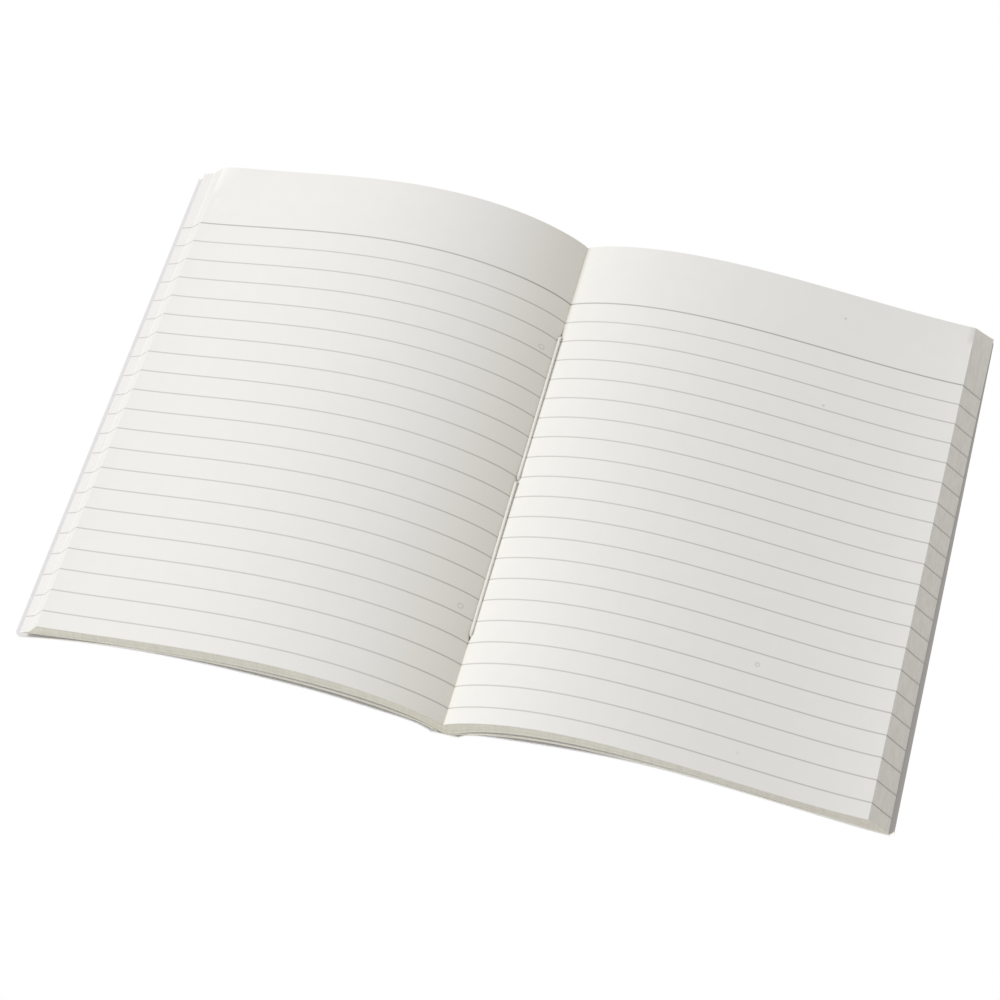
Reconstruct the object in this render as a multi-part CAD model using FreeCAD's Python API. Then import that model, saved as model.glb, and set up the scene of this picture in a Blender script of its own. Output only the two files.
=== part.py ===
import FreeCAD, Part
import math
import os

# An open, thread-sewn notebook that lies on a table, in millimetres.
# X runs across the spread, Y runs from foot to head, Z is up from the table.
# The origin is under the fold, half way up the page. The front cover lies on the left.

# Leaves
page_width = 148.0          # innermost leaf, from the fold to its fore edge
page_height = 210.0
left_creep = 8.6            # how far the outermost leaf reaches past the innermost
right_creep = 7.9
valley_height = 6.2         # table to the fold of the innermost leaf

# Card cover
card = 0.5
cover_overhang = 1.2        # cover beyond the outermost leaf
cover_corner = 2.5          # rounding of the cover's outer corners
spine_width = 7.2           # flat strip of card under the fold
spine_shift = 1.2           # middle of that strip, right of the fold, because the section leans
cover_gap = 0.4             # between the card and the outermost leaf
cover_droop = 2.0           # extra gap where the card hangs away from the leaves
droop_fullness = 4.0        # how near the spine that extra gap peaks

# Sewing
thread = 0.7                # diameter
stitch_pitch = 66.0
stitch_centre = -4.0        # middle hole, measured from half height
thread_play = 0.25          # around the strands in a hole and at the back of the fold
stitch_lift = 0.4           # stitch above the fold, held up by the pages beside it

# How the halves lie. Rises are at the foot and at the head of the page.
# Each pair of powers shapes a curve: the first near the fold, the second near the fore edge.
left_cover_rise = (13.5, 15.6)
left_cover_powers = (0.7, 0.9)
left_page_rise = (12.2, 15.9)
left_page_powers = (0.87, 1.43)
left_edge_lift = (5.8, 4.7)     # fore edge of the top leaf above the valley
left_splay = 1.2                # outermost leaf standing off the card at the fore edge
left_bevel_hollow = 0.18        # how far the fore edge sags below a straight bevel

right_cover_rise = (11.5, 9.0)
right_cover_powers = (0.7, 1.42)
right_page_rise = (11.9, 9.0)
right_page_powers = (0.84, 1.83)
right_edge_lift = (1.3, 0.1)
right_splay = 0.0
right_bevel_hollow = 0.02

arcs = 4                    # arcs that a curve is made of
thread_sides = 8            # flats round the thread
bend_steps = 5              # flats along a bend of the thread
splay_power = 8.0           # how close to the fore edge the leaves splay
slope_step = 0.02           # share of a curve over which its slope is taken

half_height = page_height / 2
block_bottom = card + cover_gap
hole_radius = thread + thread_play          # room for two strands side by side


def arch(s, rise, powers):
    """Height of a curve at the share s of its reach: nil at both ends, rise at its peak."""
    near, far = powers
    peak = near / (near + far)
    return rise * (s / peak) ** near * ((1 - s) / (1 - peak)) ** far


def reach(width, rise):
    """Plan width of a sheet that is arched by a rise."""
    return width - 8 * rise ** 2 / (3 * width)


class Half:
    """One half of the open notebook. side is -1 on the left and +1 on the right."""

    def __init__(self, side, creep, cover_rise, cover_powers,
                 page_rise, page_powers, edge_lift, splay, hollow):
        self.side = side
        self.crease = spine_width / 2 + side * spine_shift
        self.block_width = page_width + creep
        self.cover_width = self.block_width + cover_overhang
        self.cover_rise = cover_rise
        self.cover_powers = cover_powers
        self.page_rise = page_rise
        self.page_powers = page_powers
        self.edge_lift = edge_lift
        self.splay = splay
        self.hollow = hollow

    def cover_reach(self, end):
        return reach(self.cover_width, self.cover_rise[end])

    def block_reach(self, end):
        return reach(self.block_width, self.cover_rise[end])

    def page_reach(self, end):
        return reach(page_width, self.page_rise[end])

    def bed(self, x, end):
        """Underside of the cover, as a height at the distance x from the fold."""
        s = (x - self.crease) / (self.cover_reach(end) - self.crease)
        s = min(max(s, 0.0), 1.0)
        return arch(s, self.cover_rise[end], self.cover_powers)

    def slant(self, x, end):
        """Vertical thickness of a layer that is one thick and lies on the bed."""
        step = slope_step * self.cover_reach(end)
        x0 = max(x - step, self.crease)
        x1 = min(x + step, self.cover_reach(end))
        slope = (self.bed(x1, end) - self.bed(x0, end)) / (x1 - x0)
        return math.hypot(1, slope)

    def card_top(self, x, end):
        return self.bed(x, end) + card * self.slant(x, end)

    def leaf_bottom(self, x, end):
        """Underside of the outermost leaf."""
        s = (x - self.crease) / (self.block_reach(end) - self.crease)
        droop = arch(s, cover_droop, (1.0, droop_fullness))
        lift = self.splay * s ** splay_power
        return self.bed(x, end) + block_bottom * self.slant(x, end) + droop + lift

    def page_top(self, x, end):
        """Face of the innermost leaf, which is the open page."""
        s = x / self.page_reach(end)
        return valley_height + arch(s, self.page_rise[end], self.page_powers) + self.edge_lift[end] * s


left = Half(-1, left_creep, left_cover_rise, left_cover_powers,
            left_page_rise, left_page_powers, left_edge_lift, left_splay, left_bevel_hollow)
right = Half(1, right_creep, right_cover_rise, right_cover_powers,
             right_page_rise, right_page_powers, right_edge_lift, right_splay, right_bevel_hollow)

FOOT, HEAD = 0, 1
end_y = (-half_height, half_height)


def shares():
    """Shares of a width where arcs start, pass and end, closer near the fold, where the paper bends most."""
    count = 2 * arcs
    return [1 - math.cos(math.pi / 2 * i / count) for i in range(count + 1)]


def arc_chain(points):
    """Arcs through every three points, each starting where the last one ended."""
    return [Part.Arc(*points[i:i + 3]).toShape() for i in range(0, len(points) - 1, 2)]


def curve(half, end, height, start, stop):
    """Edges that a height function gives between two distances from the fold."""
    points = []
    for share in shares():
        x = start + share * (stop - start)
        points.append(FreeCAD.Vector(half.side * x, end_y[end], height(x, end)))
    return arc_chain(points)


def fore_edge(half, end):
    """Slanted edge of the leaves, hollow where the lower leaves fan out."""
    top_x = half.page_reach(end)
    top_z = half.page_top(top_x, end)
    low_x = half.block_reach(end)
    low_z = half.leaf_bottom(low_x, end)
    middle_z = (top_z + low_z) / 2 - half.hollow * (top_z - low_z)
    profile = [(top_x, top_z), ((top_x + low_x) / 2, middle_z), (low_x, low_z)]
    points = [FreeCAD.Vector(half.side * x, end_y[end], z) for x, z in profile]
    return arc_chain(points)


def fold_bottom(end):
    """Small rounded back of the fold, between the undersides of the two halves."""
    low = [(half.side * half.crease, half.leaf_bottom(half.crease, end)) for half in (right, left)]
    profile = [low[0], (spine_shift, block_bottom), low[1]]
    return arc_chain([FreeCAD.Vector(x, end_y[end], z) for x, z in profile])


def closed_solid(faces):
    """Solid inside faces that meet edge to edge."""
    shell = Part.makeShell(faces)
    shell.sewShape()
    solid = Part.makeSolid(shell)
    if solid.Volume < 0:
        solid.reverse()
    return solid


def ruled_solid(foot_edges, head_edges):
    """Solid between a flat outline at the foot and one at the head, edge for edge."""
    faces = [Part.makeRuledSurface(foot, head) for foot, head in zip(foot_edges, head_edges)]
    for edges in (foot_edges, head_edges):
        faces.append(Part.Face(Part.Wire(Part.__sortEdges__(edges))))
    return closed_solid(faces)


def block_outline(end):
    edges = fold_bottom(end)
    for half in (right, left):
        edges += curve(half, end, half.page_top, 0, half.page_reach(end))
        edges += fore_edge(half, end)
        edges += curve(half, end, half.leaf_bottom, half.crease, half.block_reach(end))
    return edges


def stitch_holes():
    return [stitch_centre + stitch_pitch * i for i in (-1, 0, 1)]


def page_block():
    block = ruled_solid(block_outline(FOOT), block_outline(HEAD))
    holes = stitch_holes()
    for y in holes:
        base = FreeCAD.Vector(0, y, 0)
        block = block.cut(Part.makeCylinder(hole_radius, 2 * valley_height, base))
    groove_width = thread + 2 * thread_play
    groove_top = block_bottom + thread + 2 * thread_play
    corner = FreeCAD.Vector(-groove_width / 2, holes[0], 0)
    return block.cut(Part.makeBox(groove_width, holes[-1] - holes[0], groove_top, corner))


def thread_ring(centre, outward, across):
    """Corners of the thread's cross-section, in the plane of two unit vectors."""
    angles = [math.tau * (i + 0.5) / thread_sides for i in range(thread_sides)]
    return [centre + (outward * math.cos(a) + across * math.sin(a)) * (thread / 2) for a in angles]


def thread_loop(start, stop):
    """One stitch: along the valley, down a hole, along the back of the fold and up again."""
    bend = thread
    inset = hole_radius / 2 + bend
    low = block_bottom + thread_play + thread / 2 + bend
    high = valley_height + stitch_lift + thread / 2 - bend
    across = FreeCAD.Vector(1, 0, 0)
    bends = ((stop - inset, high), (start + inset, high), (start + inset, low), (stop - inset, low))
    rings = []
    for i, (y, z) in enumerate(bends):
        for step in range(bend_steps + 1):
            turn = FreeCAD.Rotation(across, 90 * (i + step / bend_steps))
            outward = turn.multVec(FreeCAD.Vector(0, 1, 0))
            rings.append(thread_ring(FreeCAD.Vector(0, y, z) + outward * bend, outward, across))
    faces = []
    for ring, following in zip(rings, rings[1:] + rings[:1]):
        for j in range(thread_sides):
            corners = [ring[j - 1], ring[j], following[j], following[j - 1], ring[j - 1]]
            faces.append(Part.Face(Part.makePolygon(corners)))
    return closed_solid(faces)


def sewing_thread():
    holes = stitch_holes()
    return Part.makeCompound([thread_loop(holes[0], holes[1]), thread_loop(holes[1], holes[2])])


def cover_outline(half, end):
    stop = half.cover_reach(end)
    y = end_y[end]
    side = half.side
    under = curve(half, end, half.bed, half.crease, stop)
    over = curve(half, end, half.card_top, half.crease, stop)
    ends = []
    for x in (half.crease, stop):
        low = FreeCAD.Vector(side * x, y, half.bed(x, end))
        high = FreeCAD.Vector(side * x, y, half.card_top(x, end))
        ends.append(Part.LineSegment(low, high).toShape())
    return under + over + ends


def corner_cutter(half, end):
    """What a rounded corner takes off a square one."""
    x = half.side * half.cover_reach(end)
    y = end_y[end]
    inward_x = -half.side
    inward_y = 1 if end == FOOT else -1
    r = cover_corner
    low = FreeCAD.Vector(min(x, x + inward_x * r), min(y, y + inward_y * r), -card)
    square = Part.makeBox(r, r, 4 * card, low)
    centre = FreeCAD.Vector(x + inward_x * r, y + inward_y * r, -card)
    return square.cut(Part.makeCylinder(r, 4 * card, centre))


def cover(half):
    sheet = ruled_solid(cover_outline(half, FOOT), cover_outline(half, HEAD))
    for end in (FOOT, HEAD):
        sheet = sheet.cut(corner_cutter(half, end))
    return sheet


def cover_spine():
    corner = FreeCAD.Vector(spine_shift - spine_width / 2, -half_height, 0)
    return Part.makeBox(spine_width, page_height, card, corner)


def main():
    os.makedirs("parts", exist_ok=True)
    nodes = {
        "page_block": page_block(),
        "sewing_thread": sewing_thread(),
        "cover_spine": cover_spine(),
        "front_cover": cover(left),
        "back_cover": cover(right),
    }
    for name, shape in nodes.items():
        box = shape.BoundBox
        print(name, "valid", shape.isValid(), "solids", len(shape.Solids), "volume", round(shape.Volume, 1),
              "x", round(box.XMin, 2), round(box.XMax, 2), "y", round(box.YMin, 2), round(box.YMax, 2),
              "z", round(box.ZMin, 3), round(box.ZMax, 2))
        shape.exportStep(os.path.join("parts", name + ".step"))


main()
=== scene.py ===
import math

import bmesh
import bpy
import numpy as np
from bpy.props import FloatProperty, FloatVectorProperty, IntProperty, PointerProperty
from bpy.types import Operator, Panel, PropertyGroup
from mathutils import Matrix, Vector


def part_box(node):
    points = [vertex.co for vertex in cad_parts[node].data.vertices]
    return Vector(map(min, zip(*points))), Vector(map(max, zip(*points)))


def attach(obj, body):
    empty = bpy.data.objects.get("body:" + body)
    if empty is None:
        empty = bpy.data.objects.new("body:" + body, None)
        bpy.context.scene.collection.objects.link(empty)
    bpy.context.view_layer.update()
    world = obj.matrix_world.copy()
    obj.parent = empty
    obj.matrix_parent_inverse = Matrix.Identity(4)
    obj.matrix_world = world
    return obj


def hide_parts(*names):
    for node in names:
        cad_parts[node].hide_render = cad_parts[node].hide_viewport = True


bl_info = {
    "name": "Open Composition Notebook",
    "version": (1, 0, 0),
    "blender": (4, 5, 0),
    "location": "3D View > Sidebar > Notebook",
    "description": "Leaves, stitched thread, card cover and studio for an open ruled notebook",
    "category": "Object",
}

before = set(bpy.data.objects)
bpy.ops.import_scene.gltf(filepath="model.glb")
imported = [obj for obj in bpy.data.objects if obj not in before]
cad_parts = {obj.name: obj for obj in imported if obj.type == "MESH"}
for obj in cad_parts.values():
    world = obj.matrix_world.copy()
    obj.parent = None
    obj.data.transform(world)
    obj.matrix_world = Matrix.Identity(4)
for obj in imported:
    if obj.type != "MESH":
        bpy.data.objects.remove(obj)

# Lengths are in metres. X runs across the spread, Y from foot to head, Z up from the table.

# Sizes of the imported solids
BLOCK_LOW, BLOCK_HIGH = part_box("page_block")
SPINE_LOW, SPINE_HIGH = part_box("cover_spine")
PAGE_HEIGHT = BLOCK_HIGH.y - BLOCK_LOW.y
PAGE_WIDTH = 0.148            # innermost leaf, from the fold to its fore edge
CARD = SPINE_HIGH.z
COVER_GAP = 0.0004            # between the card and the back of the fold
BLOCK_BOTTOM = CARD + COVER_GAP

# Shape of the leaves
VALLEY_HEIGHT = 0.0062        # table to the fold of the open page
SLOPE_STEP = 0.02             # share of a curve over which its slope is taken
REST = 0.00012                # last leaf above the card, where the two lie together
COVER_DROOP = 0.0014          # gap above the leaves that hang down with the card
DROOP_FULLNESS = 4.0          # how near the fold that gap peaks
SPLAY_POWER = 8.0             # how close to the fore edge the leaves leave their arch
CURL_POWER = 16.0             # how close to the fore edge the open page curls
CORNER = 0.020                # length of the fore edge that bends at the head
CORNER_ROWS = (0.07, 0.2, 0.45)   # rows of points added there, as shares of that length
TIP_POWER = 40.0              # how close to the fore edge the tip of that corner bends
FOLD_SHIFT = 0.0006           # fold of the open page to the left of the spine's middle
FOLD_WIDTH = 0.008            # distance in which that shift fades
SEED = 7                      # for the uneven edges
MERGE_DISTANCE = 1e-7
FACE, CUT = 0, 1              # material slots of a leaf
FOOT, HEAD = 0, 1

# Sewing
STITCH_HOLES = (-0.0694, -0.0030, 0.0626)
SLIT_MARGIN = 1.6             # length of page with closer rows beside a hole, in slit lengths
THREAD_PLAY = 0.00025         # around the strands in a hole and at the back of the fold
STITCH_LIFT = 0.7             # middle of a stitch above the page, in thread diameters
BEND_STEPS = 8
STEPS_PER_TURN = 10
PLY_OFFSET = 0.25             # middle of a ply off the thread's middle, in thread diameters
PLY_SWELL = 1.25              # plies pressed into each other, so that no gap shows
PLY_SIDES = 6

# Printed lines
RULE_SOFTNESS = 0.00012
EDGE_START = 0.1455           # where the marks on the right fore edge begin to drift
RULE_STRENGTH = 0.7
SHADED_RULES = 0.2            # how much darker the rules are painted where the page lies in shade
FAR_SHADE = 0.6               # share of that painted shade on the right page's far half, against the gutter's

# Spots and rings on the pages: x, y, radius, thickness, strength
BLEMISHES = (
    (0.0994, 0.0934, 0.0, 0.0008, 0.45),
    (0.09905, 0.0529, 0.0, 0.0008, 0.45),
    (0.0980, -0.0589, 0.0007, 0.0005, 0.30),
    (0.0985, -0.0939, 0.0, 0.0008, 0.20),
    (-0.0058, 0.0536, 0.0009, 0.0004, 0.28),
    (-0.0063, -0.0601, 0.0009, 0.0004, 0.28),
)
BLEMISH_COLOUR = (0.28, 0.27, 0.24)

# Tones of the paper. Each range gives the places where a tone is nil and where it is full.
MOTTLE_SHADE = 0.965
# Painted shade: the left page is darker and warmer towards the fold, where light bounces between the pages
PAINTED_GUTTER_SHADE = (0.985, 0.97, 0.93)
GUTTER_FADE = (0.035, 0.008)          # distance from the fold, on the left page
GUTTER_START = (-0.002, 0.001)
FAR_PAGE = (0.03, 0.08)               # distance from the fold, on the right page

# Tones of the cut edges
EDGE_HEIGHTS = (0.005, 0.015)         # from the low to the high colour of the edges
# Painted light: the trimmed foot and head keep their own warmer tone, painted brighter than the paper
END_FACE = (0.0004, 0.0002)           # distance from the foot or the head
FOOT_CORNER = (0.011, 0.004)          # distance from the foot
RIGHT_EDGE = (0.05, 0.12)             # distance from the fold
# Painted shade: the left fore edge, which faces the key lamp, is darker than the other cut edges
LEFT_EDGE = (0.138, 0.142)
LEFT_HEIGHTS = (0.0062, 0.0072)       # from the low to the high tone of the left fore edge
LEFT_LOW_TONE = (0.765, 0.755, 0.745)
LEFT_HIGH_TONE = (0.715, 0.708, 0.69)
LEFT_STRENGTH = 0.85
LEFT_MARK_LOSS = 0.45                 # how much fainter the marks are there
RIGHT_SHARE = 0.5                     # end colour kept off the right half's edges
END_STRENGTH = 0.8
STREAK_RANGE = (0.42, 0.62)
STREAK_STRENGTH = 0.10
FIBRE_STRENGTH = 0.10
WEAR_COLOUR = (0.40, 0.38, 0.32)

# Tones of the card and the thread
CARD_SHADE = 0.93
# Painted shadow of the leaf block on the back board's fore edge, and the width in which it fades in
MARGIN_SHADOW_FADE = 0.002
FLAT_LIMIT = 0.5                      # upward part of a normal, below which a face is a cut edge
THREAD_SHADE = 0.85

# The table, and where its shadow shows past the raised card at the foot
TABLE_MARGINS = (0.075, 0.065)
TABLE_COLOUR = (0.93, 0.91, 0.87)
SHADOW_LEFT = (-0.130, -0.060)        # x from which the shadow shows, and where it is full
SHADOW_RIGHT = (0.080, 0.030)
SHADOW_RAISE = (0.003, 0.010)         # the same for the height of the card above the table
SIGHT_BACK = 0.519                    # table point behind the edge that hides it, for each unit of height
SIGHT_ASIDE = 0.0019                  # and to the left of it
CREASE_ASIDE = 0.0010                 # raised card begins this far past its crease
FOOT_INSET = 0.0006
HEAD_INSET = 0.005
SIDE_OUTSET = 0.0050

# Camera and key lamp
SENSOR = 36.0                 # in millimetres
KEY_PLACE = (-2.427, 0.0, 1.763)
KEY_SIZE = 1.0


def arch(share, rise, powers):
    """Height of a curve at a share of its reach: nil at both ends, rise at its peak."""
    near, far = powers
    peak = near / (near + far)
    return rise * (share / peak) ** near * ((1 - share) / (1 - peak)) ** far


def reach(width, rise):
    """Plan width of a sheet that is arched by a rise."""
    return width - 8 * rise ** 2 / (3 * width)


class Half:
    """One half of the open notebook.

    A pair holds the value at the foot and the one at the head. Powers shape an arch, the first toward
    the fold and the second toward the fore edge. Distances from the fold are positive on both sides.
    """

    def __init__(self, side, crease, creep, overhang, cover_rise, cover_powers, page_rise, page_powers,
                 edge_lift, curl, splay, hollow, set_back, waist, flare, droop):
        self.side = side                                # -1 on the left, +1 on the right
        self.crease = crease                            # fold to the crease of the board
        self.block_width = PAGE_WIDTH + creep           # length of the outermost leaf
        self.cover_width = self.block_width + overhang  # length of the card
        self.cover_rise = cover_rise
        self.cover_powers = cover_powers
        self.page_rise = page_rise
        self.page_powers = page_powers
        self.edge_lift = edge_lift                      # fore edge of the open page above its fold
        self.curl = curl                                # that edge turned down
        self.splay = splay                              # outermost leaf above the card at the fore edge
        self.hollow = hollow                            # sag of the bevel, as a share of its height
        self.set_back = set_back                        # outermost leaf set back from its length
        self.waist = waist                              # and once more at half height
        self.flare = flare                              # head corner of the open page bent up
        self.droop = droop                              # tip of that corner bent down

    def bed(self, x, end):
        """Underside of the cover at a distance from the fold."""
        stop = reach(self.cover_width, self.cover_rise[end])
        share = np.clip((x - self.crease) / (stop - self.crease), 0, 1)
        return arch(share, self.cover_rise[end], self.cover_powers)

    def slant(self, x, end):
        """Vertical thickness of a layer that is one thick and lies on the cover."""
        stop = reach(self.cover_width, self.cover_rise[end])
        x0 = np.maximum(x - SLOPE_STEP * stop, self.crease)
        x1 = np.minimum(x + SLOPE_STEP * stop, stop)
        return np.hypot(1, (self.bed(x1, end) - self.bed(x0, end)) / (x1 - x0))

    def leaf_bottom(self, x, end):
        """Underside of the outermost leaf, with the small rounded back of the fold."""
        stop = reach(self.block_width, self.cover_rise[end])
        beside = np.maximum(x, self.crease)
        share = (beside - self.crease) / (stop - self.crease)
        height = self.bed(beside, end) + (CARD + REST) * self.slant(beside, end)
        height = height + self.splay * share ** SPLAY_POWER
        fold = np.minimum(x / self.crease, 1) ** 2
        return CARD + REST + (height - CARD - REST) * fold

    def section(self, end, share, depth, hangs):
        """x and z of leaf points at one end: share from fold to fore edge, depth from the open page down.

        The last leaves hang down with the card. The others stand off them near the fold.
        """
        top_reach = reach(PAGE_WIDTH, self.page_rise[end])
        low_reach = reach(self.block_width, self.cover_rise[end]) - self.set_back
        top = VALLEY_HEIGHT + arch(share, self.page_rise[end], self.page_powers)
        top = top + self.edge_lift[end] * share
        top = top - self.curl[end] * share ** CURL_POWER
        low = self.leaf_bottom(share * low_reach, end)
        height = top + (low - top) * depth
        if not hangs:
            height = height + arch(share, COVER_DROOP, (1.0, DROOP_FULLNESS)) * depth
        sag = self.hollow * (top - low) * (1 - abs(2 * depth - 1)) * share ** SPLAY_POWER
        x = share * (top_reach + (low_reach - top_reach) * depth)
        return self.side * x, height - sag

    def page(self, x, y):
        """Height of the open page at a distance from the fold."""
        heights = []
        for end in (FOOT, HEAD):
            share = x / reach(PAGE_WIDTH, self.page_rise[end])
            heights.append(self.section(end, share, 0.0, False)[1])
        along = (y - BLOCK_LOW.y) / PAGE_HEIGHT
        return heights[FOOT] + (heights[HEAD] - heights[FOOT]) * along


LEFT = Half(side=-1, crease=-SPINE_LOW.x, creep=0.0074, overhang=0.0024,
            cover_rise=(0.0135, 0.0156), cover_powers=(0.7, 0.9),
            page_rise=(0.0122, 0.0159), page_powers=(0.87, 1.43), edge_lift=(0.0058, 0.0047),
            curl=(0.0008, 0.0010), splay=0.0024, hollow=0.22,
            set_back=0.0, waist=0.0, flare=0.0020, droop=0.0020)
RIGHT = Half(side=1, crease=SPINE_HIGH.x, creep=0.0079, overhang=0.0012,
             cover_rise=(0.0115, 0.0090), cover_powers=(0.7, 1.42),
             page_rise=(0.0119, 0.0090), page_powers=(0.84, 1.83), edge_lift=(0.0013, 0.0001),
             curl=(0.0, 0.0), splay=0.0, hollow=0.02,
             set_back=0.0006, waist=0.0003, flare=-0.0008, droop=0.0)


class LeafSettings(PropertyGroup):
    """Paper and how the leaves are stacked."""

    count: IntProperty(name="Leaves", description="Folded sheets in the section", default=48, min=4)
    fill: FloatProperty(name="Fill", description="Share of each leaf's space that is paper, not air",
                        default=0.96, min=0.3, max=0.98, subtype="FACTOR")
    hanging: IntProperty(name="Hanging", description="Last leaves that lie on the cover, below a thin gap",
                         default=3, min=0)
    trim: FloatProperty(name="Trim", description="How unevenly the leaves' edges line up",
                        default=0.00012, unit="LENGTH")
    slit_length: FloatProperty(name="Slit Length", description="Length of a sewing hole along the fold",
                               default=0.0034, unit="LENGTH")
    slit_width: FloatProperty(name="Slit Width", description="Width of a sewing hole across the fold",
                              default=0.0007, unit="LENGTH")
    dimple: FloatProperty(name="Dimple", description="How deep the thread pulls the paper in at a hole",
                          default=0.00025, unit="LENGTH")
    paper: FloatVectorProperty(name="Paper", description="Colour of the page", subtype="COLOR",
                               default=(0.842, 0.831, 0.799), min=0, max=1)
    edge: FloatVectorProperty(name="Cut Edge", description="Colour of the trimmed edges near the page",
                              subtype="COLOR", default=(0.87, 0.84, 0.80), min=0, max=1)
    low_edge: FloatVectorProperty(name="Low Cut Edge", subtype="COLOR", min=0, max=1,
                                  description="Colour of the trimmed edges near the cover",
                                  default=(0.84, 0.80, 0.745))
    # The ends' own warmer tone, painted brighter than the paper as painted light
    end_edge: FloatVectorProperty(name="End Edge", subtype="COLOR", min=0, max=1,
                                  description="Colour of the trimmed edges at foot and head",
                                  default=(1.0, 0.985, 0.86))


class RulingSettings(PropertyGroup):
    """The printed lines."""

    pitch: FloatProperty(name="Pitch", description="Distance between two rules",
                         default=0.0088, unit="LENGTH")
    last_rule: IntProperty(name="Last Rule", description="Rules below the heading rule", default=20)
    head_margin: FloatProperty(name="Head Margin", description="Head edge to the heading rule",
                               default=0.0274, unit="LENGTH")
    width: FloatProperty(name="Width", description="Width of a rule", default=0.00052, unit="LENGTH")
    heading_width: FloatProperty(name="Heading Width", description="Width of the heading rule",
                                 default=0.00058, unit="LENGTH")
    skew: FloatProperty(name="Skew", description="How far the marks drift down the right fore edge",
                        default=0.09)
    ink: FloatVectorProperty(name="Ink", description="Colour of the rules", subtype="COLOR",
                             default=(0.50, 0.49, 0.46), min=0, max=1)
    heading_ink: FloatVectorProperty(name="Heading Ink", description="Colour of the heading rule",
                                     subtype="COLOR", default=(0.37, 0.365, 0.345), min=0, max=1)
    mark_ink: FloatVectorProperty(name="Mark Ink", description="Colour of the rules' ends on the cut edges",
                                  subtype="COLOR", default=(0.46, 0.45, 0.41), min=0, max=1)


class ThreadSettings(PropertyGroup):
    """The sewing thread."""

    diameter: FloatProperty(name="Diameter", description="Thread diameter", default=0.0011, unit="LENGTH")
    plies: IntProperty(name="Plies", description="Strands that are twisted together", default=3, min=2)
    twist: FloatProperty(name="Twist", description="Length of one full turn", default=0.0019, unit="LENGTH")
    head_side: FloatProperty(name="Head Side", default=0.00075, unit="LENGTH",
                             description="How far a stitch lies up the left page at its head end")
    foot_side: FloatProperty(name="Foot Side", default=0.00045, unit="LENGTH",
                             description="How far a stitch lies up the left page at its foot end")
    colour: FloatVectorProperty(name="Colour", description="Colour of the thread", subtype="COLOR",
                                default=(0.97, 0.955, 0.90), min=0, max=1)


class CoverSettings(PropertyGroup):
    """The card cover."""

    face: FloatVectorProperty(name="Card", description="Colour of the card's faces", subtype="COLOR",
                              default=(0.73, 0.715, 0.725), min=0, max=1)
    core: FloatVectorProperty(name="Core", description="Colour of the card's cut edge", subtype="COLOR",
                              default=(1.0, 0.97, 0.86), min=0, max=1)
    set_back: FloatProperty(name="Set Back", description="How far the back board's fore edge is set back",
                            default=0.0016, unit="LENGTH")
    corner: FloatProperty(name="Corner", description="Length of the foot corner that is not fully set back",
                          default=0.015, unit="LENGTH")
    # Painted shadow of the leaf block along the back board's fore edge
    margin: FloatVectorProperty(name="Margin", description="Colour of the back board's shadowed fore edge",
                                subtype="COLOR", default=(0.47, 0.45, 0.435), min=0, max=1)


class StageSettings(PropertyGroup):
    """Camera, lamps and table."""

    lens: FloatProperty(name="Lens", description="Focal length on a 36 mm sensor, in millimetres",
                        default=108.79)
    camera_place: FloatVectorProperty(name="Camera", description="Camera position", subtype="TRANSLATION",
                                      unit="LENGTH", default=(0.14113, -0.57577, 0.90692))
    camera_turn: FloatVectorProperty(name="Camera Turn", description="Camera rotation", subtype="EULER",
                                     unit="ROTATION",
                                     default=[math.radians(a) for a in (32.871, 0.040, 14.428)])
    key_power: FloatProperty(name="Key", description="Power of the key lamp, in watts", default=50.0)
    sky: FloatProperty(name="Sky", description="Strength of the even light", default=0.625)
    shadow_width: FloatProperty(name="Shadow Width", description="How far out the table's shadow shows",
                                default=0.0010, unit="LENGTH")
    shadow_fade: FloatProperty(name="Shadow Fade", description="Length in which the shadow turns white",
                               default=0.0012, unit="LENGTH")


def link_mesh(name, vertices, faces, slots=None):
    """A mesh object from plain lists, with a material slot for each face if slots are given."""
    mesh = bpy.data.meshes.new(name)
    mesh.from_pydata(vertices, [], faces)
    if slots is not None:
        mesh.polygons.foreach_set("material_index", slots)
    mesh.update()
    piece = bpy.data.objects.new(name, mesh)
    bpy.context.scene.collection.objects.link(piece)
    return piece


def smooth(piece, degrees):
    """Smooth shading with edges sharper than an angle kept."""
    for polygon in piece.data.polygons:
        polygon.use_smooth = True
    piece.data.set_sharp_from_angle(angle=math.radians(degrees))


def fold_shares(count):
    """Shares from the fold to the fore edge, closer at both ends and most at the fold."""
    steps = np.linspace(0, 1, count + 1)
    near_fold = 1 - np.cos(math.pi / 2 * steps)
    near_ends = (1 - np.cos(math.pi * steps)) / 2
    return (steps + near_fold + near_ends) / 3


def slit_half_width(y, settings):
    """Half the opening of a sewing hole at a height on the page."""
    opening = np.zeros_like(y)
    for hole in STITCH_HOLES:
        inside = 1 - ((y - hole) / (settings.slit_length / 2)) ** 2
        opening = np.maximum(opening, settings.slit_width / 2 * np.sqrt(np.clip(inside, 0, None)))
    return opening


def row_places(spacing, slit_rows, settings):
    """Heights of a leaf's rows of points, from 0 at the foot to 1 at the head."""
    rows = list(np.linspace(BLOCK_LOW.y, BLOCK_HIGH.y, round(PAGE_HEIGHT / spacing) + 1))
    rows += [BLOCK_HIGH.y - CORNER * part for part in CORNER_ROWS]
    margin = settings.slit_length * SLIT_MARGIN
    rows = [y for y in rows if min(abs(y - hole) for hole in STITCH_HOLES) > margin]
    for hole in STITCH_HOLES:
        turns = np.linspace(0, math.pi, slit_rows)
        rows += list(hole - settings.slit_length / 2 * np.cos(turns))
        rows += [hole - margin, hole + margin]
    return (np.array(sorted(rows)) - BLOCK_LOW.y) / PAGE_HEIGHT


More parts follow.
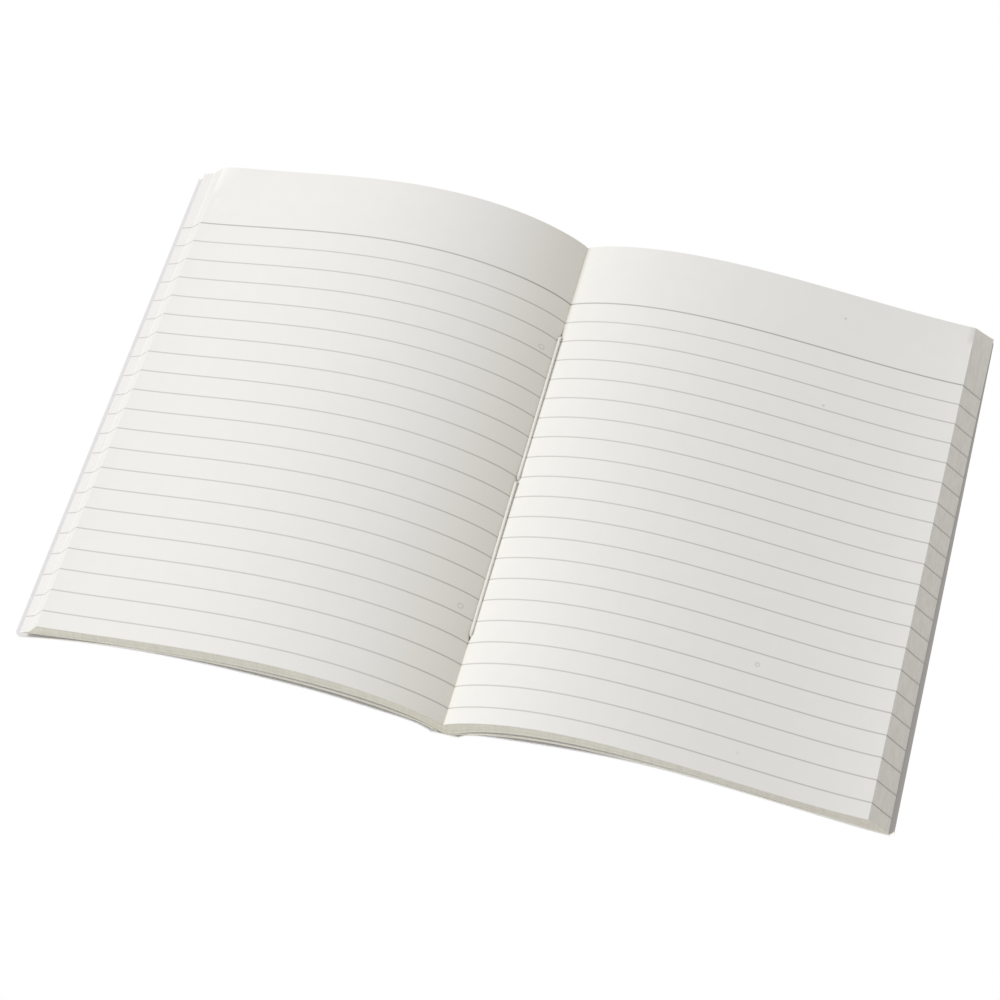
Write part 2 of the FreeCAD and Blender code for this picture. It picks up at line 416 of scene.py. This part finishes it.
def leaf_surface(shares, places, depth, hangs, trims, settings):
    """Points of one face of a folded leaf, rows by columns, from the left fore edge to the right one."""
    foot_trim, head_trim, left_trim, right_trim = trims
    y = BLOCK_LOW.y + foot_trim + places * (PAGE_HEIGHT - foot_trim - head_trim)
    along = ((y - BLOCK_LOW.y) / PAGE_HEIGHT)[:, None]
    opening = slit_half_width(y, settings)[:, None]
    halves = []
    for half, trim in ((LEFT, left_trim), (RIGHT, right_trim)):
        share = shares * (1 - trim / PAGE_WIDTH)
        share = share[::-1] if half is LEFT else share
        foot_x, foot_z = half.section(FOOT, share, depth, hangs)
        head_x, head_z = half.section(HEAD, share, depth, hangs)
        waist = half.waist * (1 - (2 * along - 1) ** 2) * depth * share ** SPLAY_POWER
        x = foot_x + (head_x - foot_x) * along - half.side * waist
        corner = np.clip((y[:, None] - BLOCK_HIGH.y) / CORNER + 1, 0, 1) ** 2 * (1 - depth)
        bend = half.flare * share ** SPLAY_POWER - half.droop * share ** TIP_POWER
        z = foot_z + (head_z - foot_z) * along + bend * corner
        at_fold = np.abs(x) < opening
        x = np.where(at_fold, half.side * opening, x)
        x = x - FOLD_SHIFT * (1 - depth) * np.exp(-np.abs(x) / FOLD_WIDTH)
        for hole in STITCH_HOLES:
            distance = np.hypot(x + FOLD_SHIFT, y[:, None] - hole) / settings.slit_length
            z = z - settings.dimple * (1 - depth) * np.exp(-distance ** 2)
        halves.append(np.stack([x, np.broadcast_to(y[:, None], x.shape), z], axis=-1))
    return np.concatenate(halves, axis=1)


def leaf_faces(rows, columns, open_rows):
    """Faces of a folded leaf with two faces and cut edges, as corner indices and material slots."""
    middle = columns // 2
    upper = np.arange(rows * columns).reshape(rows, columns)
    lower = upper + rows * columns
    faces = []
    slots = []

    def wall(line_a, line_b, slot):
        for i in range(len(line_a) - 1):
            faces.append((line_a[i], line_a[i + 1], line_b[i + 1], line_b[i]))
            slots.append(slot)

    for start, stop in ((0, middle), (middle, columns)):
        for row in range(rows - 1):
            wall(upper[row, start:stop], upper[row + 1, start:stop], FACE)
            wall(lower[row + 1, start:stop], lower[row, start:stop], FACE)
        wall(lower[0, start:stop], upper[0, start:stop], CUT)
        wall(upper[-1, start:stop], lower[-1, start:stop], CUT)
    wall(upper[:, 0], lower[:, 0], CUT)
    wall(lower[:, -1], upper[:, -1], CUT)
    for row in range(rows - 1):
        if open_rows[row] or open_rows[row + 1]:
            wall(lower[row:row + 2, middle - 1], upper[row:row + 2, middle - 1], CUT)
            wall(upper[row:row + 2, middle], lower[row:row + 2, middle], CUT)
    return faces, slots


def leaf_stack(name, first, last, settings, chance, columns, row_spacing, slit_rows):
    """Leaves from first to last, counted from the open page down, as one piece."""
    shares = fold_shares(columns)
    places = row_places(row_spacing, slit_rows, settings)
    vertices = []
    faces = []
    slots = []
    for i in range(first, last):
        trims = chance.uniform(0, settings.trim, 4)
        hangs = i >= settings.count - settings.hanging
        upper, lower = (leaf_surface(shares, places, (i + part) / settings.count, hangs, trims, settings)
                        for part in (0, settings.fill))
        rows, width = upper.shape[:2]
        y = upper[:, 0, 1]
        quads, quad_slots = leaf_faces(rows, width, slit_half_width(y, settings) > 0)
        offset = len(vertices)
        vertices += [tuple(p) for surface in (upper, lower) for p in surface.reshape(-1, 3)]
        faces += [tuple(offset + int(j) for j in quad) for quad in quads]
        slots += quad_slots
    piece = link_mesh(name, vertices, faces, slots)
    shape = bmesh.new()
    shape.from_mesh(piece.data)
    bmesh.ops.remove_doubles(shape, verts=shape.verts, dist=MERGE_DISTANCE)
    shape.to_mesh(piece.data)
    shape.free()
    return piece


def rgba(colour, shade=1.0):
    """A colour, darkened by a shade, that is fully opaque."""
    return (*[c * shade for c in colour], 1)


def new_material(name, roughness, specular):
    """An empty node material and its main shader."""
    material = bpy.data.materials.new(name)
    material.use_nodes = True
    shader = material.node_tree.nodes["Principled BSDF"]
    shader.inputs["Roughness"].default_value = roughness
    shader.inputs["Specular IOR Level"].default_value = specular
    return material, shader


class Nodes:
    """Short ways to add and join nodes in one tree."""

    def __init__(self, tree):
        self.tree = tree

    def add(self, kind, **settings):
        node = self.tree.nodes.new(kind)
        for key, value in settings.items():
            setattr(node, key, value)
        return node

    def join(self, source, target):
        self.tree.links.new(source, target)

    def feed(self, target, value):
        """Sets a socket from a plain value or from another socket."""
        if isinstance(value, bpy.types.NodeSocket):
            self.join(value, target)
        else:
            target.default_value = value

    def math(self, operation, *values, clamp=False):
        node = self.add("ShaderNodeMath", operation=operation, use_clamp=clamp)
        for socket, value in zip(node.inputs, values):
            self.feed(socket, value)
        return node.outputs[0]

    def times(self, first, second):
        return self.math("MULTIPLY", first, second)

    def minus(self, first, second):
        return self.math("SUBTRACT", first, second)

    def mix(self, factor, first, second):
        node = self.add("ShaderNodeMix", data_type="RGBA")
        self.feed(node.inputs["Factor"], factor)
        self.feed(node.inputs["A"], first)
        self.feed(node.inputs["B"], second)
        return node.outputs["Result"]

    def ease(self, value, low, high):
        """Soft step from 0 at low to 1 at high."""
        node = self.add("ShaderNodeMapRange", interpolation_type="SMOOTHSTEP")
        self.feed(node.inputs["Value"], value)
        self.feed(node.inputs["From Min"], low)
        self.feed(node.inputs["From Max"], high)
        return node.outputs["Result"]

    def coordinates(self, kind):
        """The three parts of the object's own coordinates, or of its normals."""
        parts = self.add("ShaderNodeSeparateXYZ")
        self.join(self.add("ShaderNodeTexCoord").outputs[kind], parts.inputs[0])
        return [parts.outputs[axis] for axis in "XYZ"]

    def group(self, group, **values):
        node = self.add("ShaderNodeGroup", node_tree=bpy.data.node_groups[group])
        for key, value in values.items():
            self.feed(node.inputs[key.replace("_", " ")], value)
        return node.outputs


def new_group(name, inputs, outputs):
    """A shader node group with float inputs and named outputs, and its inner nodes."""
    group = bpy.data.node_groups.new(name, "ShaderNodeTree")
    for label, default in inputs.items():
        socket = group.interface.new_socket(label, in_out="INPUT", socket_type="NodeSocketFloat")
        socket.default_value = default
    for label in outputs:
        group.interface.new_socket(label, in_out="OUTPUT", socket_type="NodeSocketFloat")
    nodes = Nodes(group)
    return nodes, nodes.add("NodeGroupInput").outputs, nodes.add("NodeGroupOutput").inputs


def ruling_group():
    """Masks of the ruled lines, from the height on the page."""
    nodes, given, result = new_group(
        "Ruling", {"Heading": 0.0776, "Pitch": 0.0088, "Last Rule": 20.0, "Width": 0.0005,
                   "Heading Width": 0.0006, "Softness": RULE_SOFTNESS, "Edge": EDGE_START, "Skew": 0.0},
        ("Rule", "Heading Rule"))
    x, y, _ = nodes.coordinates("Object")
    beyond = nodes.math("MAXIMUM", nodes.minus(x, given["Edge"]), 0.0)
    below = nodes.minus(given["Heading"], y)
    below = nodes.minus(below, nodes.times(beyond, given["Skew"]))
    number = nodes.math("ROUND", nodes.math("DIVIDE", below, given["Pitch"]))
    number = nodes.math("MAXIMUM", number, 0.0)
    number = nodes.math("MINIMUM", number, given["Last Rule"])
    distance = nodes.math("ABSOLUTE", nodes.minus(below, nodes.times(number, given["Pitch"])))
    heading = nodes.math("LESS_THAN", number, 0.5)
    for label, width, chosen in (("Rule", given["Width"], nodes.minus(1.0, heading)),
                                 ("Heading Rule", given["Heading Width"], heading)):
        half = nodes.times(width, 0.5)
        inner = nodes.minus(half, given["Softness"])
        outer = nodes.math("ADD", half, given["Softness"])
        line = nodes.minus(1.0, nodes.ease(distance, inner, outer))
        nodes.join(nodes.times(line, chosen), result[label])


def grain_group():
    """Fine fibres, slow mottling and long streaks of paper and card."""
    nodes, given, result = new_group(
        "Paper Grain", {"Fibre Scale": 2500.0, "Mottle Scale": 180.0, "Streak Scale": 900.0},
        ("Fibre", "Mottle", "Streak"))
    place = nodes.add("ShaderNodeTexCoord").outputs["Object"]
    for label, stretch, detail in (("Fibre", (1.0, 0.35, 1.0), 5.0),
                                   ("Mottle", (1.0, 1.0, 1.0), 3.0),
                                   ("Streak", (1.0, 0.2, 0.04), 3.0)):
        mapping = nodes.add("ShaderNodeMapping")
        mapping.inputs["Scale"].default_value = stretch
        nodes.join(place, mapping.inputs["Vector"])
        noise = nodes.add("ShaderNodeTexNoise")
        nodes.join(mapping.outputs["Vector"], noise.inputs["Vector"])
        nodes.join(given[label + " Scale"], noise.inputs["Scale"])
        noise.inputs["Detail"].default_value = detail
        nodes.join(noise.outputs["Fac"], result[label])


def blemish_group():
    """Mask of one small spot or ring at a place on the page."""
    nodes, given, result = new_group(
        "Blemish", {"X": 0.0, "Y": 0.0, "Radius": 0.0, "Thickness": 0.0004}, ("Spot",))
    x, y, _ = nodes.coordinates("Object")
    across = nodes.minus(x, given["X"])
    along = nodes.minus(y, given["Y"])
    squares = nodes.math("ADD", nodes.times(across, across), nodes.times(along, along))
    away = nodes.math("ABSOLUTE", nodes.minus(nodes.math("SQRT", squares), given["Radius"]))
    nodes.join(nodes.minus(1.0, nodes.ease(away, 0.0, given["Thickness"])), result["Spot"])


def bump(nodes, height, shader, distance, strength):
    """Bump on a shader from a height."""
    node = nodes.add("ShaderNodeBump")
    node.inputs["Distance"].default_value = distance
    node.inputs["Strength"].default_value = strength
    nodes.join(height, node.inputs["Height"])
    nodes.join(node.outputs["Normal"], shader.inputs["Normal"])


def ruled_colour(nodes, paper, strength, inks, ruling, skew=0.0):
    """Paper colour with the ruled lines printed on it, in the inks of the rules and of the heading rule."""
    masks = nodes.group("Ruling", Heading=BLOCK_HIGH.y - ruling.head_margin, Pitch=ruling.pitch,
                        Last_Rule=float(ruling.last_rule), Width=ruling.width,
                        Heading_Width=ruling.heading_width, Skew=skew)
    colour = nodes.mix(nodes.times(masks["Rule"], strength), paper, rgba(inks[0]))
    return nodes.mix(nodes.times(masks["Heading Rule"], strength), colour, rgba(inks[1]))


def page_material(leaves, ruling):
    """Matt writing paper with grey rules, and painted warm shade in the gutter of the left page."""
    material, shader = new_material("ruled_paper", roughness=0.82, specular=0.25)
    nodes = Nodes(material.node_tree)
    grain = nodes.group("Paper Grain")
    x, _, _ = nodes.coordinates("Object")
    paper = nodes.mix(grain["Mottle"], rgba(leaves.paper), rgba(leaves.paper, MOTTLE_SHADE))
    from_fold = nodes.times(x, -1.0)
    # Painted shade, darker and warmer, on the left page near the fold
    gutter = nodes.times(nodes.ease(from_fold, *GUTTER_FADE), nodes.ease(from_fold, *GUTTER_START))
    painted_gutter_colour = [c * tint for c, tint in zip(leaves.paper, PAINTED_GUTTER_SHADE)]
    paper = nodes.mix(gutter, paper, rgba(painted_gutter_colour))
    for spot_x, spot_y, radius, thickness, strength in BLEMISHES:
        spot = nodes.group("Blemish", X=spot_x, Y=spot_y, Radius=radius, Thickness=thickness)["Spot"]
        paper = nodes.mix(nodes.times(spot, strength), paper, rgba(BLEMISH_COLOUR))
    # Painted shade on the rules: darker ink where the page lies in shade, near the fold and on the right
    # page's far half
    far_page = nodes.times(nodes.ease(x, *FAR_PAGE), FAR_SHADE)
    shaded = nodes.math("MAXIMUM", gutter, far_page)
    strength = nodes.math("MULTIPLY_ADD", shaded, SHADED_RULES, RULE_STRENGTH)
    inks = (ruling.ink, ruling.heading_ink)
    nodes.join(ruled_colour(nodes, paper, strength, inks, ruling), shader.inputs["Base Color"])
    bump(nodes, grain["Fibre"], shader, distance=0.00002, strength=0.25)
    return material


def edge_material(leaves, ruling):
    """Trimmed edges of the leaves, where the rules show as marks, with painted light on the foot and head
    and painted shade on the left fore edge.
    """
    material, shader = new_material("cut_edges", roughness=0.9, specular=0.2)
    nodes = Nodes(material.node_tree)
    grain = nodes.group("Paper Grain", Fibre_Scale=900.0)
    x, y, z = nodes.coordinates("Object")
    paper = nodes.mix(nodes.ease(z, *EDGE_HEIGHTS), rgba(leaves.low_edge), rgba(leaves.edge))
    # Painted light: the foot and head take their warmer tone, painted brighter than the paper, less so on
    # the right half
    ends = nodes.ease(nodes.math("ABSOLUTE", y), *[PAGE_HEIGHT / 2 - inset for inset in END_FACE])
    corner = nodes.ease(nodes.times(y, -1.0), *[PAGE_HEIGHT / 2 - inset for inset in FOOT_CORNER])
    right_half = nodes.times(nodes.ease(x, *RIGHT_EDGE), RIGHT_SHARE)
    end_tone_and_light = nodes.math("MAXIMUM", ends, nodes.times(corner, right_half))
    end_tone_and_light = nodes.times(end_tone_and_light, nodes.minus(END_STRENGTH, right_half))
    paper = nodes.mix(end_tone_and_light, paper, rgba(leaves.end_edge))
    streaks = nodes.times(nodes.ease(grain["Streak"], *STREAK_RANGE), STREAK_STRENGTH)
    wear = nodes.math("ADD", streaks, nodes.times(grain["Fibre"], FIBRE_STRENGTH))
    paper = nodes.mix(wear, paper, rgba(WEAR_COLOUR))
    # Painted shade on the left fore edge, which faces the key lamp
    left_edge = nodes.ease(nodes.times(x, -1.0), *LEFT_EDGE)
    left_painted_shade = nodes.mix(nodes.ease(z, *LEFT_HEIGHTS), rgba(LEFT_LOW_TONE), rgba(LEFT_HIGH_TONE))
    left_fore = nodes.times(left_edge, nodes.minus(1.0, ends))
    paper = nodes.mix(nodes.times(left_fore, LEFT_STRENGTH), paper, left_painted_shade)
    strength = nodes.minus(1.0, nodes.times(left_edge, LEFT_MARK_LOSS))
    inks = (ruling.mark_ink, ruling.mark_ink)
    colour = ruled_colour(nodes, paper, strength, inks, ruling, ruling.skew)
    nodes.join(colour, shader.inputs["Base Color"])
    return material


def card_material(cover):
    """Pale grey card with a cream core at its cut edges, and a painted shadow along the back board's fore
    edge.
    """
    material, shader = new_material("cover_card", roughness=0.7, specular=0.35)
    nodes = Nodes(material.node_tree)
    grain = nodes.group("Paper Grain", Fibre_Scale=1400.0, Mottle_Scale=90.0)
    x, _, _ = nodes.coordinates("Object")
    _, _, upward = nodes.coordinates("Normal")
    face = nodes.mix(grain["Mottle"], rgba(cover.face), rgba(cover.face, CARD_SHADE))
    # Painted shadow of the leaf block on the back board beyond the page's fore edge
    face = nodes.mix(nodes.ease(x, PAGE_WIDTH, PAGE_WIDTH + MARGIN_SHADOW_FADE), face, rgba(cover.margin))
    upright = nodes.math("LESS_THAN", nodes.math("ABSOLUTE", upward), FLAT_LIMIT)
    nodes.join(nodes.mix(upright, face, rgba(cover.core)), shader.inputs["Base Color"])
    bump(nodes, grain["Fibre"], shader, distance=0.00004, strength=0.4)
    return material


def thread_material(thread):
    """Soft twisted cotton."""
    material, shader = new_material("cotton_thread", roughness=0.85, specular=0.5)
    nodes = Nodes(material.node_tree)
    grain = nodes.group("Paper Grain", Fibre_Scale=6000.0, Mottle_Scale=900.0)
    colour = nodes.mix(grain["Mottle"], rgba(thread.colour), rgba(thread.colour, THREAD_SHADE))
    nodes.join(colour, shader.inputs["Base Color"])
    bump(nodes, grain["Fibre"], shader, distance=0.00003, strength=0.5)
    shader.inputs["Sheen Weight"].default_value = 0.3
    return material


def stitch_path(start, stop, thread):
    """Centre line of one stitch: along the valley, down a hole, along the back of the fold and up again."""
    bend = thread.diameter
    inset = (thread.diameter + THREAD_PLAY) / 2 + bend
    low = BLOCK_BOTTOM + THREAD_PLAY + thread.diameter / 2 + bend
    rise = thread.diameter * STITCH_LIFT - bend
    corners = []
    for y, turn, sideways in ((stop, -inset, thread.head_side), (start, inset, thread.foot_side)):
        high = float(LEFT.page(max(sideways - FOLD_SHIFT, 0), y)) + rise
        corners.append((y + turn, high, sideways))
    corners += [(start + inset, low, 0.0), (stop - inset, low, 0.0)]
    points = []
    for i, (y, z, sideways) in enumerate(corners):
        for step in range(BEND_STEPS + 1):
            angle = math.pi / 2 * (i + step / BEND_STEPS)
            x = -sideways * max(math.sin(angle), 0)
            points.append((x, y + bend * math.cos(angle), z + bend * math.sin(angle)))
    return np.array(points)


def even_points(points, spacing):
    """A closed line through points, cut into even steps, and its length."""
    loop = np.vstack([points, points[:1]])
    lengths = np.concatenate([[0], np.cumsum(np.linalg.norm(np.diff(loop, axis=0), axis=1))])
    count = round(lengths[-1] / spacing)
    places = np.arange(count) / count * lengths[-1]
    return np.stack([np.interp(places, lengths, loop[:, axis]) for axis in range(3)], axis=1), lengths[-1]


def twisted_loop(points, length, thread):
    """Vertices and faces of plies twisted about a closed line in the plane of the fold."""
    count = len(points)
    ahead = np.roll(points, -1, axis=0) - np.roll(points, 1, axis=0)
    ahead /= np.linalg.norm(ahead, axis=1)[:, None]
    across = np.array([1.0, 0.0, 0.0])
    outward = np.cross(ahead, across)
    turns = round(length / thread.twist)
    offset = thread.diameter * PLY_OFFSET
    radius = (thread.diameter / 2 - offset) * PLY_SWELL
    vertices = []
    faces = []
    for ply in range(thread.plies):
        base = len(vertices)
        angle = math.tau * (np.arange(count) / count * turns + ply / thread.plies)
        out = np.cos(angle)[:, None] * outward + np.sin(angle)[:, None] * across
        side = -np.sin(angle)[:, None] * outward + np.cos(angle)[:, None] * across
        centre = points + out * offset
        for i in range(count):
            for k in range(PLY_SIDES):
                a = math.tau * k / PLY_SIDES
                vertices.append(tuple(centre[i] + radius * (out[i] * math.cos(a) + side[i] * math.sin(a))))
        for i in range(count):
            ring = base + i * PLY_SIDES
            next_ring = base + (i + 1) % count * PLY_SIDES
            for k in range(PLY_SIDES):
                beside = (k + 1) % PLY_SIDES
                faces.append((ring + k, ring + beside, next_ring + beside, next_ring + k))
    return vertices, faces


def trimmed_board(node, set_back, corner):
    """A copy of the back board whose fore edge is set back, less so near its foot corner."""
    stop = max(vertex.co.x for vertex in node.data.vertices)
    vertices = []
    for vertex in node.data.vertices:
        x, y, z = vertex.co
        release = min(max((y - BLOCK_LOW.y) / corner, 0), 1)
        vertices.append((x - set_back * release * (max(x, 0) / stop) ** SPLAY_POWER, y, z))
    piece = link_mesh("back_board_card", vertices, [tuple(face.vertices) for face in node.data.polygons])
    smooth(piece, degrees=35)
    return piece


class NOTEBOOK_OT_leaves(Operator):
    """Stack the folded leaves, with their ruling and sewing holes"""

    bl_idname = "notebook.leaves"
    bl_label = "Leaves"

    def execute(self, context):
        leaves = context.scene.notebook_leaves
        ruling = context.scene.notebook_ruling
        chance = np.random.default_rng(SEED)
        materials = (page_material(leaves, ruling), edge_material(leaves, ruling))
        open_leaf = leaf_stack("open_leaf", 0, 1, leaves, chance,
                               columns=48, row_spacing=0.005, slit_rows=13)
        stack = leaf_stack("leaves_below", 1, leaves.count, leaves, chance,
                           columns=18, row_spacing=0.03, slit_rows=3)
        for piece in (open_leaf, stack):
            for material in materials:
                piece.data.materials.append(material)
            smooth(piece, degrees=35)
            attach(piece, "leaves")
            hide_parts("page_block")
        return {"FINISHED"}


class NOTEBOOK_OT_thread(Operator):
    """Twist the thread and lay its stitches in the fold"""

    bl_idname = "notebook.thread"
    bl_label = "Sewing Thread"

    def execute(self, context):
        thread = context.scene.notebook_thread
        vertices = []
        faces = []
        for start, stop in zip(STITCH_HOLES, STITCH_HOLES[1:]):
            path = stitch_path(start, stop, thread)
            points, length = even_points(path, thread.twist / STEPS_PER_TURN)
            loop_vertices, loop_faces = twisted_loop(points, length, thread)
            offset = len(vertices)
            vertices += loop_vertices
            faces += [tuple(offset + i for i in face) for face in loop_faces]
        piece = link_mesh("thread_stitches", vertices, faces)
        smooth(piece, degrees=80)
        piece.data.materials.append(thread_material(thread))
        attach(piece, "leaves")
        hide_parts("sewing_thread")
        return {"FINISHED"}


class NOTEBOOK_OT_cover(Operator):
    """Finish the card of the two boards and the spine"""

    bl_idname = "notebook.cover"
    bl_label = "Card Cover"

    def execute(self, context):
        cover = context.scene.notebook_cover
        material = card_material(cover)
        for name in ("front_cover", "cover_spine"):
            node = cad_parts[name]
            node.data.materials.clear()
            node.data.materials.append(material)
        board = trimmed_board(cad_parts["back_cover"], cover.set_back, cover.corner)
        board.data.materials.append(material)
        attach(board, "back_board")
        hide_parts("back_cover")
        return {"FINISHED"}


class NOTEBOOK_OT_stage(Operator):
    """Place the camera, the lamps and the table"""

    bl_idname = "notebook.stage"
    bl_label = "Stage"

    def execute(self, context):
        stage = context.scene.notebook_stage
        self.camera(context, stage)
        self.table(stage)
        self.lamps(context, stage)
        context.scene.view_settings.view_transform = "Standard"
        return {"FINISHED"}

    def camera(self, context, stage):
        data = bpy.data.cameras.new("camera")
        data.lens = stage.lens
        data.sensor_width = SENSOR
        camera = bpy.data.objects.new("camera", data)
        camera.location = stage.camera_place
        camera.rotation_euler = stage.camera_turn
        context.scene.collection.objects.link(camera)
        context.scene.camera = camera

    def table(self, stage):
        """White table, clear outside the notebook's shadow so that the page round it stays white."""
        half_x = PAGE_WIDTH + TABLE_MARGINS[0]
        half_y = PAGE_HEIGHT / 2 + TABLE_MARGINS[1]
        corners = [(-half_x, -half_y, 0), (half_x, -half_y, 0), (half_x, half_y, 0), (-half_x, half_y, 0)]
        table = link_mesh("table", corners, [(0, 1, 2, 3)])
        material, shader = new_material("white_table", roughness=0.9, specular=0.0)
        shader.inputs["Base Color"].default_value = rgba(TABLE_COLOUR)
        nodes = Nodes(material.node_tree)
        outside = self.outside_shadow(nodes, stage)
        camera_ray = nodes.add("ShaderNodeLightPath").outputs["Is Camera Ray"]
        mixed = nodes.add("ShaderNodeMixShader")
        nodes.join(nodes.times(camera_ray, outside), mixed.inputs["Fac"])
        nodes.join(shader.outputs["BSDF"], mixed.inputs[1])
        nodes.join(nodes.add("ShaderNodeBsdfTransparent").outputs["BSDF"], mixed.inputs[2])
        nodes.join(mixed.outputs["Shader"], material.node_tree.nodes["Material Output"].inputs["Surface"])
        table.data.materials.append(material)

    def outside_shadow(self, nodes, stage):
        """Mask of the table: 0 under the notebook and in its shadow, 1 outside."""
        x, y, _ = nodes.coordinates("Object")
        raised = self.board_height(nodes, x)
        shown = nodes.times(nodes.ease(x, *SHADOW_LEFT), nodes.ease(x, *SHADOW_RIGHT))
        shown = nodes.times(shown, nodes.ease(raised, *SHADOW_RAISE))
        limit = nodes.math("MULTIPLY_ADD", shown, stage.shadow_width, PAGE_HEIGHT / 2 - FOOT_INSET)
        below = nodes.math("ADD", nodes.times(y, -1.0), nodes.times(raised, SIGHT_BACK))
        foot = nodes.minus(below, limit)
        head = nodes.minus(y, PAGE_HEIGHT / 2 - HEAD_INSET)
        side = nodes.minus(nodes.math("ABSOLUTE", x), PAGE_WIDTH + SIDE_OUTSET)
        beyond = nodes.math("MAXIMUM", nodes.math("MAXIMUM", side, head), foot)
        return nodes.ease(beyond, 0.0, stage.shadow_fade)

    def board_height(self, nodes, x):
        """Height of the card's underside at the foot, where a point of the table is seen past its edge."""
        total = 0.0
        for half in (LEFT, RIGHT):
            stop = reach(half.cover_width, half.cover_rise[FOOT])
            near, far = half.cover_powers
            peak = near / (near + far)
            aside = half.side * SIGHT_ASIDE - CREASE_ASIDE - half.crease
            share = nodes.math("ADD", nodes.times(x, half.side), aside)
            share = nodes.math("DIVIDE", share, stop - half.crease, clamp=True)
            rising = nodes.math("POWER", nodes.math("DIVIDE", share, peak), near)
            falling = nodes.math("DIVIDE", nodes.minus(1.0, share), 1 - peak)
            shape = nodes.times(rising, nodes.math("POWER", falling, far))
            total = nodes.math("MULTIPLY_ADD", shape, half.cover_rise[FOOT], total)
        return total

    def lamps(self, context, stage):
        data = bpy.data.lights.new("key", "AREA")
        data.energy = stage.key_power
        data.size = KEY_SIZE
        key = bpy.data.objects.new("key", data)
        key.location = KEY_PLACE
        key.rotation_euler = (Vector((0, 0, 0)) - key.location).to_track_quat("-Z", "Y").to_euler()
        context.scene.collection.objects.link(key)
        world = bpy.data.worlds.new("studio")
        world.use_nodes = True
        context.scene.world = world
        nodes = Nodes(world.node_tree)
        background = world.node_tree.nodes["Background"]
        background.inputs["Color"].default_value = (1, 1, 1, 1)
        camera_ray = nodes.add("ShaderNodeLightPath").outputs["Is Camera Ray"]
        extra = nodes.times(camera_ray, 1.0 - stage.sky)
        nodes.join(nodes.math("ADD", extra, stage.sky), background.inputs["Strength"])


class NOTEBOOK_PT_panel(Panel):
    """Pieces and stage of the notebook"""

    bl_idname = "NOTEBOOK_PT_panel"
    bl_label = "Open Notebook"
    bl_space_type = "VIEW_3D"
    bl_region_type = "UI"
    bl_category = "Notebook"

    def draw(self, context):
        layout = self.layout
        for name, (settings, operator) in PARTS.items():
            group = getattr(context.scene, name)
            box = layout.box()
            for setting in settings.__annotations__:
                box.prop(group, setting)
            if operator:
                box.operator(operator)


# Settings and the operator that uses them
PARTS = {
    "notebook_leaves": (LeafSettings, "notebook.leaves"),
    "notebook_ruling": (RulingSettings, None),
    "notebook_thread": (ThreadSettings, "notebook.thread"),
    "notebook_cover": (CoverSettings, "notebook.cover"),
    "notebook_stage": (StageSettings, "notebook.stage"),
}
CLASSES = (*[settings for settings, _ in PARTS.values()], NOTEBOOK_OT_leaves, NOTEBOOK_OT_thread,
           NOTEBOOK_OT_cover, NOTEBOOK_OT_stage, NOTEBOOK_PT_panel)


def register():
    for item in CLASSES:
        bpy.utils.register_class(item)
    for name, (settings, _) in PARTS.items():
        setattr(bpy.types.Scene, name, PointerProperty(type=settings))


def unregister():
    for name in PARTS:
        delattr(bpy.types.Scene, name)
    for item in reversed(CLASSES):
        bpy.utils.unregister_class(item)


def main():
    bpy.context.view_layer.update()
    register()
    ruling_group()
    blemish_group()
    grain_group()
    bpy.ops.notebook.cover()
    bpy.ops.notebook.leaves()
    bpy.ops.notebook.thread()
    bpy.ops.notebook.stage()


if __name__ == "__main__":
    main()
